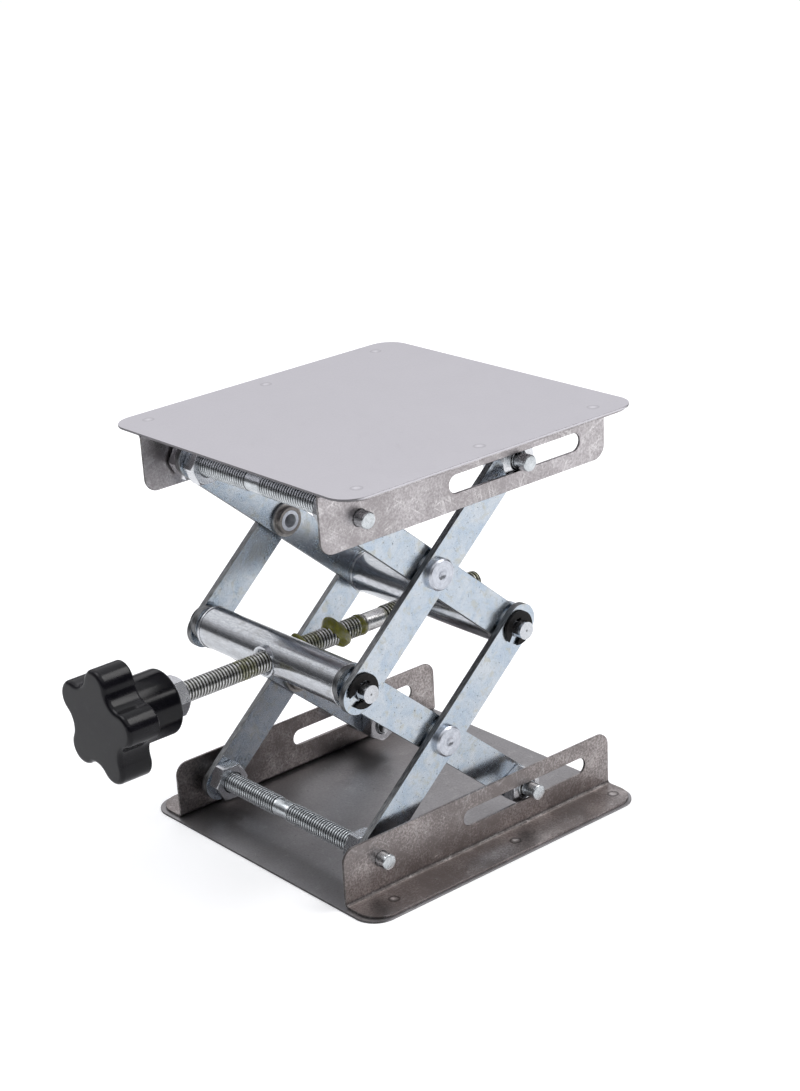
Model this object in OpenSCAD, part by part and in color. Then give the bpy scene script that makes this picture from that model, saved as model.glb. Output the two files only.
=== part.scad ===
// Screw-driven lab jack: two plates joined by a two-stage scissor and raised by a knob.
// Origin: centre of the base plate's underside. +Z is up, the drive screw runs along Y
// and the knob is at -Y. X is across the jack, and the two sides mirror each other.

/* [Lift] */
// Angle of every arm above the horizontal, which sets the height
lift_angle = 41; // [12:0.5:60]
// Distance between the end pivots of an arm
arm_length = 74; // [70:0.5:78]
// Angle of every arm at the lowest height
lowest_angle = 8.8; // [8.7:0.1:10]
// Height of a plate's pivots above that plate's outer face
pivot_height = 10.7; // [10.2:0.1:11.5]
// Y of the pivots at the front, which never move along Y
front_pivot_y = -36.5; // [-38:0.5:-35]

/* [Plates] */
// Width of both plates, along X
plate_width = 101; // [101:1:120]
// Depth of both plates, along Y
plate_depth = 102; // [102:1:120]
// Thickness of the plates' sheet
plate_sheet = 0.6; // [0.5:0.1:1]
// Radius of the plates' corners
plate_corner = 7; // [4:0.5:10]

/* [Rails] */
// X of a rail's outer face
rail_face_x = 37.9; // [37.7:0.1:38.2]
// Thickness of the rails' sheet
rail_sheet = 0.7; // [0.6:0.1:0.9]
// Height of a rail's free edge above the plate's outer face
rail_height = 17.8; // [17.4:0.1:18.2]
// Length of a rail along Y
rail_length = 100; // [98:1:100]
// X of the flange's outer edge
flange_edge_x = 49.8; // [46:0.1:49.8]
// Width of the slot that the slide pins run in
slot_width = 5; // [4.8:0.1:5.4]

/* [Arms] */
// Width of an arm's strip
arm_width = 10.2; // [9.8:0.1:10.4]
// Thickness of an arm's strip
arm_sheet = 2; // [1.8:0.05:2]
// Distance from an end pivot to the centre of the arm's rounded end
arm_overhang = 1.9; // [1.5:0.1:2.2]

/* [Rods and crossbars] */
// Outside diameter of the M6 threads
thread_diameter = 5.9; // [5.8:0.01:5.9]
// Diameter of the rods' smooth ends in the rails
rod_end_diameter = 4.5; // [4:0.1:4.6]
// Diameter of the unthreaded stretch in the middle of the rods and the screw
waist_diameter = 5.35; // [5:0.05:5.6]
// Diameter of a crossbar
bar_diameter = 12; // [11.6:0.1:12]
// Diameter of a crossbar's end pins
bar_pin_diameter = 5; // [4.6:0.1:5.2]
// Distance across the flats of the nuts
nut_flats = 10; // [9.8:0.1:10]
// Thickness of the nuts
nut_height = 4.4; // [4:0.05:4.45]

/* [Drive] */
// Radius over the knob's lobes
knob_radius = 16.2; // [15:0.1:16.6]
// Radius of one lobe
knob_lobe = 4.8; // [4.4:0.1:5]
// Radius of the hollow between two lobes
knob_hollow = 5; // [4:0.1:5.5]
// Angle of the first lobe about the screw
knob_phase = 155; // [0:1:360]
// Y of the knob's front face
knob_front_y = -97.6; // [-99:0.1:-95]
// Y of the far end of the drive screw
screw_end_y = 36; // [30:0.5:36]

/* [Hidden] */
$fn = 96;
height = 2 * pivot_height + 2 * arm_length * sin(lift_angle);
mid_z = height / 2;
back_pivot_y = front_pivot_y + arm_length * cos(lift_angle);
centre_y = front_pivot_y + arm_length / 2 * cos(lift_angle);
lower_centre_z = pivot_height + arm_length / 2 * sin(lift_angle);
upper_centre_z = height - lower_centre_z;

// Gaps: a face that rubs, and the diameter added to a hole that turns or that is held fast.
face_gap = 0.05;
run_fit = 0.15;
still_fit = 0.04;

// Stack across X at one side, from the middle of the jack outwards.
inner_arm_x = 29.9;
outer_arm_x = 32.4;
bar_shoulder_x = 29;
rod_shoulder_x = 36.8;
rod_tip_x = 41.3;
pin_tip_x = 38;
slide_pin_inner_x = 24.4;

// Rails
rail_inner_x = rail_face_x - rail_sheet;
rail_y = 0.4;
bend_inside = 1;
bend_outside = bend_inside + rail_sheet;
rail_corner = 4;
flange_corner = 7;
rod_hole_diameter = rod_end_diameter + run_fit;
slot_front_y = -3.9;
slot_back_y = 38.5;
weld_depth = 0.25;
weld_sphere = 4.5;
weld_x = 44;
base_weld_ys = [-38, 7, 46];
top_weld_ys = [-42, -1, 40];

// The slide pins' nuts turn with their arms, and lie flat under a crossbar at the lowest height
slide_nut_turn = lift_angle - lowest_angle;

// Depth by which joined shapes reach into each other
overlap = 0.5;

// Small parts
hole_chamfer = 0.4;
spacer_diameter = 10;
rivet_diameter = 6;
rivet_hollow = 4;
rivet_head_diameter = 8.8;
rivet_head_height = 1.8;
rivet_closed_end = 1;
collar_diameter = 8;
collar_height = 1.3;
collar_washer_diameter = 10;
collar_washer_height = 1;
clip_diameter = 9.8;
clip_sheet = 0.7;
clip_groove_width = 0.8;
clip_groove_x = outer_arm_x + arm_sheet + 0.1;
clip_groove_diameter = 4;
clip_prong = 1.8;
clip_mouth = 3.2;
front_clip_angle = 205;
rear_clip_angle = -58;
clip_hollow = 5.9;
clip_prong_angles = [68, 180, 292];
nut_chamfer = 0.6;
nut_face_inset = 0.2;
rivet_edge = 0.5;
rivet_dimple = 2;
rivet_dimple_depth = 0.5;
thrust_washer_margin = 0.4;
boss_diameter = 8.8;
boss_rise = 0.1;
boss_chamfer = 0.8;
stake_radius = 1.2;
stake_x = 9;
stake_z = -1.5;
shim_diameter = 11;

// Drive screw and knob
jam_nut_y = -75.6;
jam_nut_height = 5;
hub_radius = 9.1;
hub_length = 12.2;
knob_bore_depth = 10;
screw_end_gap = 0.5;
waist_front_y = -6.8;
waist_back_y = -0.3;
rod_waist_left_x = -5.8;
rod_waist_right_x = -0.8;
lobes = 5;
lobe_centre = knob_radius - knob_lobe;
lobe_step = 360 / lobes;
arc_steps = 14;
hollow_centre = lobe_centre * cos(lobe_step / 2)
    + sqrt(pow(knob_lobe + knob_hollow, 2) - pow(lobe_centre * sin(lobe_step / 2), 2));

steel = "lightsteelblue";
zinc = "silver";
plate_grey = "gainsboro";
rail_grey = "rosybrown";
black = "dimgray";

// ---- Helpers ----

// The children and their mirror image at the other side of the jack
module both_sides() {
    children();
    mirror([1, 0, 0]) children();
}

// The children as they are for the right side, or mirrored for the left side
module on_side(side) {
    if (side == "left") mirror([1, 0, 0]) children();
    else children();
}

// Round bar along X from x0 to x1
module bar_x(x0, x1, d) {
    translate([x0, 0, 0]) rotate([0, 90, 0]) cylinder(h = x1 - x0, d = d);
}

// Round bar along Y from y0 to y1
module bar_y(y0, y1, d) {
    translate([0, y1, 0]) rotate([90, 0, 0]) cylinder(h = y1 - y0, d = d);
}

// Flat sheet: a 2D outline drawn in Y and Z, thickened along X from x0
module sheet_x(x0, thickness) {
    translate([x0, 0, 0]) rotate([90, 0, 90]) linear_extrude(thickness) children();
}

// Waste outside a rounded corner, whose tip is at the origin and whose sheet lies at -X and -Y
module corner_waste(r) {
    difference() {
        translate([-r, -r]) square(r + 1);
        translate([-r, -r]) circle(r);
    }
}

// Washer along X from x0
module washer_x(x0, thickness, outside, inside) {
    difference() {
        bar_x(x0, x0 + thickness, outside);
        bar_x(x0 - 1, x0 + thickness + 1, inside);
    }
}

// Hex nut along X from x0, with flats facing up and down, chamfered faces and a chamfered bore
module nut_x(x0, thickness) {
    bore = thread_diameter + still_fit;
    corner_r = nut_flats / 2 / cos(30);
    outside_r = corner_r + nut_face_inset;
    face_r = nut_flats / 2 - nut_face_inset;
    translate([x0, 0, 0]) rotate([0, 90, 0]) difference() {
        intersection() {
            rotate([0, 0, 30]) cylinder(h = thickness, r = corner_r, $fn = 6);
            rotate_extrude() polygon([
                [0, 0], [face_r, 0], [outside_r, nut_chamfer],
                [outside_r, thickness - nut_chamfer], [face_r, thickness], [0, thickness]
            ]);
        }
        translate([0, 0, -1]) cylinder(h = thickness + 2, d = bore);
        translate([0, 0, -0.01]) cylinder(h = hole_chamfer, d1 = bore + 2 * hole_chamfer, d2 = bore);
        translate([0, 0, thickness - hole_chamfer + 0.01])
            cylinder(h = hole_chamfer, d1 = bore, d2 = bore + 2 * hole_chamfer);
    }
}

// ---- Plates and rails ----

// Shallow spot-weld marks at the places ys on one horizontal face at height z
module weld_marks(ys, z, up) {
    lift = up ? weld_sphere - weld_depth : weld_depth - weld_sphere;
    for (y = ys) translate([weld_x, y, z + lift]) sphere(weld_sphere);
}

// Plate at rest on z = 0, marked below by the rails' spot welds at the places ys
module plate(ys) {
    difference() {
        linear_extrude(plate_sheet) difference() {
            square([plate_width, plate_depth], center = true);
            for (mx = [0, 1], my = [0, 1]) mirror([mx, 0]) mirror([0, my])
                translate([plate_width / 2, plate_depth / 2]) corner_waste(plate_corner);
        }
        both_sides() weld_marks(ys, 0, false);
    }
}

// Section of a right-hand rail, drawn in X and Z: a flange on the plate, a bend and a web
module rail_section() {
    bend_x = rail_inner_x + bend_outside;
    bend_z = plate_sheet + bend_outside;
    difference() {
        union() {
            translate([rail_inner_x, plate_sheet]) square([rail_sheet, rail_height - plate_sheet]);
            translate([rail_inner_x, plate_sheet]) square([flange_edge_x - rail_inner_x, rail_sheet]);
            translate([rail_inner_x, plate_sheet]) square(bend_outside);
        }
        translate([rail_inner_x - 1, plate_sheet - 1]) difference() {
            square(bend_outside + 1);
            translate([bend_outside + 1, bend_outside + 1]) circle(bend_outside);
        }
        translate([bend_x, bend_z]) circle(bend_inside);
    }
}

// Right-hand angle rail of the base, spot-welded at ys: a flange on the plate and an upright web
module rail(ys) {
    difference() {
        translate([0, rail_y + rail_length / 2, 0]) rotate([90, 0, 0])
            linear_extrude(rail_length) rail_section();
        for (m = [0, 1]) translate([0, rail_y, 0]) mirror([0, m, 0]) {
            sheet_x(rail_inner_x - 1, rail_sheet + 2)
                translate([rail_length / 2, rail_height]) corner_waste(rail_corner);
            translate([flange_edge_x, rail_length / 2, 0])
                linear_extrude(2 * plate_sheet + rail_sheet) corner_waste(flange_corner);
        }
        translate([0, front_pivot_y, pivot_height])
            bar_x(rail_inner_x - 1, rail_face_x + 1, rod_hole_diameter);
        translate([0, 0, pivot_height]) {
            for (y = [slot_front_y, slot_back_y])
                translate([0, y, 0]) bar_x(rail_inner_x - 1, rail_face_x + 1, slot_width);
            translate([rail_inner_x - 1, slot_front_y, -slot_width / 2])
                cube([rail_sheet + 2, slot_back_y - slot_front_y, slot_width]);
        }
        weld_marks(ys, plate_sheet + rail_sheet, true);
    }
}

// Turns a base piece over into the matching top piece
module at_top() {
    translate([0, 0, height]) mirror([0, 0, 1]) children();
}

module base_plate() {
    color(plate_grey) plate(base_weld_ys);
}

module base_rail(side) {
    color(rail_grey) on_side(side) rail(base_weld_ys);
}

module top_plate() {
    color(plate_grey) at_top() plate(top_weld_ys);
}

module top_rail(side) {
    color(rail_grey) at_top() on_side(side) rail(top_weld_ys);
}

// ---- Arms ----

// Arm strip for the right side, along +Y from its first pivot at the origin
module arm(x0, hole_diameters) {
    end_r = arm_width / 2;
    sheet_x(x0, arm_sheet) difference() {
        union() {
            translate([-arm_overhang, 0]) circle(end_r);
            translate([arm_length + arm_overhang, 0]) circle(end_r);
            translate([-arm_overhang, -end_r]) square([arm_length + 2 * arm_overhang, arm_width]);
        }
        for (i = [0:2]) translate([i * arm_length / 2, 0]) circle(d = hole_diameters[i]);
    }
}

// Arm from the base rod up to the rear crossbar
module lower_outer_arm(side) {
    color(steel) on_side(side) translate([0, front_pivot_y, pivot_height]) rotate([lift_angle, 0, 0])
        arm(outer_arm_x,
            [thread_diameter + run_fit, rivet_diameter + still_fit, bar_pin_diameter + run_fit]);
}

// Arm from the front crossbar down to the base slide pin
module lower_inner_arm(side) {
    color(steel) on_side(side) translate([0, front_pivot_y, mid_z]) rotate([-lift_angle, 0, 0])
        arm(inner_arm_x,
            [bar_pin_diameter + run_fit, rivet_diameter + run_fit, thread_diameter + still_fit]);
}

// Arm from the front crossbar up to the top slide pin
module upper_outer_arm(side) {
    color(steel) on_side(side) translate([0, front_pivot_y, mid_z]) rotate([lift_angle, 0, 0])
        arm(outer_arm_x,
            [bar_pin_diameter + run_fit, rivet_diameter + still_fit, thread_diameter + still_fit]);
}

// Arm from the top rod down to the rear crossbar
module upper_inner_arm(side) {
    color(steel) on_side(side) translate([0, front_pivot_y, height - pivot_height])
        rotate([-lift_angle, 0, 0])
            arm(inner_arm_x,
                [thread_diameter + run_fit, rivet_diameter + run_fit, bar_pin_diameter + run_fit]);
}

// ---- Rods, slide pins and their nuts ----

// Threaded rod across the jack, with smooth ends that sit in the rails
module pivot_rod() {
    bar_x(-rod_tip_x, rod_tip_x, rod_end_diameter);
    bar_x(-rod_shoulder_x, rod_waist_left_x, thread_diameter);
    bar_x(rod_waist_left_x, rod_waist_right_x, waist_diameter);
    bar_x(rod_waist_right_x, rod_shoulder_x, thread_diameter);
}

// Right-hand slide pin: a short threaded shank with a smooth end that runs in the slot
module slide_pin() {
    bar_x(slide_pin_inner_x, rod_shoulder_x, thread_diameter);
    bar_x(slide_pin_inner_x + 1, rod_tip_x, rod_end_diameter);
}

// Places a piece on the base rod, the top rod, the base slide pins or the top slide pins
module at_base_rod() { translate([0, front_pivot_y, pivot_height]) children(); }
module at_top_rod() { translate([0, front_pivot_y, height - pivot_height]) children(); }
module at_base_slide() { translate([0, back_pivot_y, pivot_height]) children(); }
module at_top_slide() { translate([0, back_pivot_y, height - pivot_height]) children(); }

module base_pivot_rod() {
    color(zinc) at_base_rod() pivot_rod();
}

module base_pivot_nuts() {
    color(zinc) at_base_rod() both_sides() nut_x(outer_arm_x - face_gap - nut_height, nut_height);
}

module top_pivot_rod() {
    color(zinc) at_top_rod() pivot_rod();
}

module top_pivot_outer_nuts() {
    color(zinc) at_top_rod() both_sides() nut_x(inner_arm_x + arm_sheet + face_gap, nut_height);
}

module top_pivot_inner_nuts() {
    color(zinc) at_top_rod() both_sides() nut_x(inner_arm_x - face_gap - nut_height, nut_height);
}

module base_slide_pins() {
    color(zinc) at_base_slide() both_sides() slide_pin();
}

module base_slide_outer_nuts() {
    color(zinc) at_base_slide() rotate([-slide_nut_turn, 0, 0]) both_sides()
        nut_x(inner_arm_x + arm_sheet, nut_height);
}

module base_slide_inner_nuts() {
    color(zinc) at_base_slide() rotate([-slide_nut_turn, 0, 0]) both_sides()
        nut_x(inner_arm_x - nut_height, nut_height);
}

module top_slide_pins() {
    color(zinc) at_top_slide() both_sides() slide_pin();
}

// Two thin washers on each side, between the arm and the pin's shoulder
module top_slide_washers() {
    shim_sheet = (rod_shoulder_x - outer_arm_x - arm_sheet) / 2;
    color(zinc) at_top_slide() both_sides() for (i = [0, 1])
        washer_x(outer_arm_x + arm_sheet + i * shim_sheet, shim_sheet, shim_diameter,
            thread_diameter + still_fit);
}

module top_slide_nuts() {
    color(zinc) at_top_slide() rotate([slide_nut_turn, 0, 0]) both_sides()
        nut_x(outer_arm_x - nut_height, nut_height);
}

// ---- Crossbars, clips and washers ----

// Bar with a pin at each end and a screw hole that faces the front
module crossbar() {
    hole_d = thread_diameter + run_fit;
    front = bar_diameter / 2 + boss_rise;
    difference() {
        union() {
            bar_x(-bar_shoulder_x, bar_shoulder_x, bar_diameter);
            bar_y(-front, 0, boss_diameter);
            bar_x(-pin_tip_x, pin_tip_x, bar_pin_diameter);
        }
        bar_y(-bar_diameter, bar_diameter, hole_d);
        translate([0, boss_chamfer - front, 0]) rotate([90, 0, 0])
            cylinder(h = boss_chamfer + 0.01, d1 = hole_d, d2 = hole_d + 2 * boss_chamfer);
        translate([stake_x, -bar_diameter / 2, stake_z]) sphere(stake_radius);
        both_sides() washer_x(clip_groove_x, clip_groove_width, bar_pin_diameter + 1,
            clip_groove_diameter);
    }
}

// Retaining clip for the right side: a ring with three prongs and a mouth towards an angle
module clip(angle) {
    x0 = clip_groove_x + (clip_groove_width - clip_sheet) / 2;
    prong_r = clip_groove_diameter / 2 + still_fit / 2;
    hollow_r = clip_hollow / 2;
    sheet_x(x0, clip_sheet) rotate(angle) difference() {
        union() {
            difference() {
                circle(d = clip_diameter);
                circle(hollow_r);
            }
            for (a = clip_prong_angles) rotate(a)
                translate([0, -clip_prong / 2]) square([hollow_r + overlap, clip_prong]);
        }
        circle(prong_r);
        translate([0, -clip_mouth / 2]) square([clip_diameter, clip_mouth]);
    }
}

module thrust_washer() {
    washer_x(bar_shoulder_x, inner_arm_x - bar_shoulder_x - 2 * face_gap,
        bar_diameter + thrust_washer_margin, bar_pin_diameter + still_fit);
}

// Thin washer between the inner and the outer arm
module spacer_washer(hole_d) {
    x0 = inner_arm_x + arm_sheet + face_gap;
    washer_x(x0, outer_arm_x - face_gap - x0, spacer_diameter, hole_d);
}

module at_front_bar() { translate([0, front_pivot_y, mid_z]) children(); }
module at_rear_bar() { translate([0, back_pivot_y, mid_z]) rotate([0, 0, 180]) children(); }

module front_crossbar() {
    color(zinc) at_front_bar() crossbar();
}

module rear_crossbar() {
    color(zinc) at_rear_bar() crossbar();
}

module front_crossbar_clips() {
    color(black) at_front_bar() both_sides() clip(front_clip_angle);
}

module rear_crossbar_clips() {
    color(black) at_rear_bar() both_sides() clip(rear_clip_angle);
}

module front_crossbar_washers() {
    color(zinc) at_front_bar() both_sides() thrust_washer();
}

module rear_crossbar_washers() {
    color(zinc) at_rear_bar() both_sides() thrust_washer();
}

module front_spacer_washers() {
    color(zinc) at_front_bar() both_sides() spacer_washer(bar_pin_diameter + run_fit);
}

module rear_spacer_washers() {
    color(zinc) at_rear_bar() both_sides() spacer_washer(bar_pin_diameter + run_fit);
}

// ---- Centre rivets ----

// Hollow rivet for the right side: a stepped head outside the outer arm and a shank
module rivet() {
    head_x = outer_arm_x + arm_sheet;
    shank_x = inner_arm_x - collar_washer_height - collar_height;
    difference() {
        union() {
            bar_x(head_x, head_x + rivet_head_height - rivet_edge, rivet_head_diameter);
            translate([head_x + rivet_head_height - rivet_edge, 0, 0]) rotate([0, 90, 0])
                cylinder(h = rivet_edge, d1 = rivet_head_diameter,
                    d2 = rivet_head_diameter - 2 * rivet_edge);
            bar_x(shank_x, head_x + overlap, rivet_diameter);
        }
        bar_x(shank_x - overlap, head_x - rivet_closed_end, rivet_hollow);
        translate([head_x + rivet_head_height + rivet_dimple - rivet_dimple_depth, 0, 0])
            sphere(rivet_dimple);
    }
}

// Washer under the rivet's inner end, and the rolled rim that holds it
module rivet_collar() {
    washer_low_x = inner_arm_x - face_gap - collar_washer_height;
    washer_x(washer_low_x, collar_washer_height, collar_washer_diameter, rivet_diameter + still_fit);
    washer_x(washer_low_x - collar_height, collar_height, collar_diameter,
        rivet_diameter + still_fit);
}

module at_lower_centre() { translate([0, centre_y, lower_centre_z]) children(); }
module at_upper_centre() { translate([0, centre_y, upper_centre_z]) children(); }

module lower_centre_rivets() {
    color(zinc) at_lower_centre() both_sides() rivet();
}

module upper_centre_rivets() {
    color(zinc) at_upper_centre() both_sides() rivet();
}

module lower_centre_washers() {
    color(zinc) at_lower_centre() both_sides() spacer_washer(rivet_diameter + run_fit);
}

module upper_centre_washers() {
    color(zinc) at_upper_centre() both_sides() spacer_washer(rivet_diameter + run_fit);
}

module lower_rivet_collars() {
    color(zinc) at_lower_centre() both_sides() rivet_collar();
}

module upper_rivet_collars() {
    color(zinc) at_upper_centre() both_sides() rivet_collar();
}

// ---- Drive screw and knob ----

// Screw with a left-hand thread in front of its waist and a right-hand thread behind it
module drive_screw() {
    color(zinc) translate([0, 0, mid_z]) {
        bar_y(jam_nut_y - knob_bore_depth + screw_end_gap, waist_front_y, thread_diameter);
        bar_y(waist_front_y, waist_back_y, waist_diameter);
        bar_y(waist_back_y, screw_end_y, thread_diameter);
    }
}

// Points on an arc about c with radius r, from angle a0 towards a1, without the last one
function arc(c, r, a0, a1, steps) =
    [for (j = [0:steps - 1]) let (a = a0 + (a1 - a0) * j / steps) c + r * [cos(a), sin(a)]];

// Points turned by angle a about the origin
function turned(points, a) =
    [for (p = points) [p[0] * cos(a) - p[1] * sin(a), p[0] * sin(a) + p[1] * cos(a)]];

// Outline of the knob's lobes: each lobe's arc runs tangent into the hollow after it
module knob_outline() {
    half_step = lobe_step / 2;
    lobe_end = atan2(hollow_centre * sin(half_step), hollow_centre * cos(half_step) - lobe_centre);
    hollow_half = atan2(lobe_centre * sin(half_step), hollow_centre - lobe_centre * cos(half_step));
    lobe_points = arc([lobe_centre, 0], knob_lobe, -lobe_end, lobe_end, arc_steps);
    hollow_points = turned(
        arc([hollow_centre, 0], knob_hollow, 180 + hollow_half, 180 - hollow_half, arc_steps),
        half_step);
    rotate(knob_phase) polygon([for (i = [0:lobes - 1])
        each turned(concat(lobe_points, hollow_points), i * lobe_step)]);
}

module knob() {
    hub_front_y = jam_nut_y - hub_length;
    color(black) translate([0, 0, mid_z]) difference() {
        union() {
            bar_y(hub_front_y, jam_nut_y, 2 * hub_radius);
            translate([0, hub_front_y, 0]) rotate([90, 0, 0])
                linear_extrude(hub_front_y - knob_front_y) knob_outline();
        }
        bar_y(jam_nut_y - knob_bore_depth, jam_nut_y + 1, thread_diameter + still_fit);
    }
}

// Nut that locks the screw against the knob's hub
module knob_jam_nut() {
    color(zinc) translate([0, jam_nut_y, mid_z]) rotate([0, 0, 90]) nut_x(0, jam_nut_height);
}

base_plate();
base_rail("left");  // base_rail_left
base_rail("right");  // base_rail_right
top_plate();
top_rail("left");  // top_rail_left
top_rail("right");  // top_rail_right
lower_outer_arm("left");  // lower_outer_arm_left
lower_outer_arm("right");  // lower_outer_arm_right
lower_inner_arm("left");  // lower_inner_arm_left
lower_inner_arm("right");  // lower_inner_arm_right
upper_outer_arm("left");  // upper_outer_arm_left
upper_outer_arm("right");  // upper_outer_arm_right
upper_inner_arm("left");  // upper_inner_arm_left
upper_inner_arm("right");  // upper_inner_arm_right
base_pivot_rod();
base_pivot_nuts();
top_pivot_rod();
top_pivot_outer_nuts();
top_pivot_inner_nuts();
front_crossbar();
rear_crossbar();
front_crossbar_clips();
rear_crossbar_clips();
front_crossbar_washers();
rear_crossbar_washers();
front_spacer_washers();
rear_spacer_washers();
lower_centre_rivets();
upper_centre_rivets();
lower_centre_washers();
upper_centre_washers();
lower_rivet_collars();
upper_rivet_collars();
base_slide_pins();
base_slide_outer_nuts();
base_slide_inner_nuts();
top_slide_pins();
top_slide_washers();
top_slide_nuts();
drive_screw();
knob();
knob_jam_nut();
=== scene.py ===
import math

import bpy
import numpy as np
from mathutils import Matrix, Vector


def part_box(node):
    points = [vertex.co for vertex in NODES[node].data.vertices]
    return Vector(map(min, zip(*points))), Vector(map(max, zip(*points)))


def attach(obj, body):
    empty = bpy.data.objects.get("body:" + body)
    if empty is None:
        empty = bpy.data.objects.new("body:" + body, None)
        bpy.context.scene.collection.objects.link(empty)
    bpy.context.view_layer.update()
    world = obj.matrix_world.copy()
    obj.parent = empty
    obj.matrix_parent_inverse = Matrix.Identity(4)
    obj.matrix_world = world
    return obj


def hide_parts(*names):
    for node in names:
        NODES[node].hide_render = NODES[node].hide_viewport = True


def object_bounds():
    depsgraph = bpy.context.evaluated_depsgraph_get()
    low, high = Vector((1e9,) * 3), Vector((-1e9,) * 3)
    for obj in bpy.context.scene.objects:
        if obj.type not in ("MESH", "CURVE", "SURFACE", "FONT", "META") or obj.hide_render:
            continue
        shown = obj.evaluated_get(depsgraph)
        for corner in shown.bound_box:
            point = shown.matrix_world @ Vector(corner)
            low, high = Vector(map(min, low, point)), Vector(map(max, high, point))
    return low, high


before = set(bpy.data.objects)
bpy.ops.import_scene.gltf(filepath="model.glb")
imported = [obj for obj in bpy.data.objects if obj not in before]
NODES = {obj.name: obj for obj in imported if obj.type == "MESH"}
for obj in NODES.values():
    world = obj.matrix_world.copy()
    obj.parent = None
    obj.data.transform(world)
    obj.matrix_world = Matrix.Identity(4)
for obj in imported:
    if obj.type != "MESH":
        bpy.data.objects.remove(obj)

CAD_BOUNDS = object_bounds()

MM = 0.001


# ---------------------------------------------------------------- places

def middle(node):
    """Centre of a CAD node's box, in metres."""
    low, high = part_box(node)
    return (low + high) / 2


BASE_ROD = middle("base_pivot_rod")
TOP_ROD = middle("top_pivot_rod")
BASE_SLIDE = middle("base_slide_pins")
TOP_SLIDE = middle("top_slide_pins")
SCREW = middle("drive_screw")
ROD_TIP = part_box("base_pivot_rod")[1].x / MM
SCREW_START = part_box("drive_screw")[0].y / MM
SCREW_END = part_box("drive_screw")[1].y / MM
KNOB_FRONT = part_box("knob")[0].y / MM
KNOB_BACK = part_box("knob")[1].y / MM


# ---------------------------------------------------------------- node materials

# Sockets of a colour mix node, which share their names with its other kinds
MIX_FIRST, MIX_SECOND, MIX_RESULT = 6, 7, 2


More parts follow.
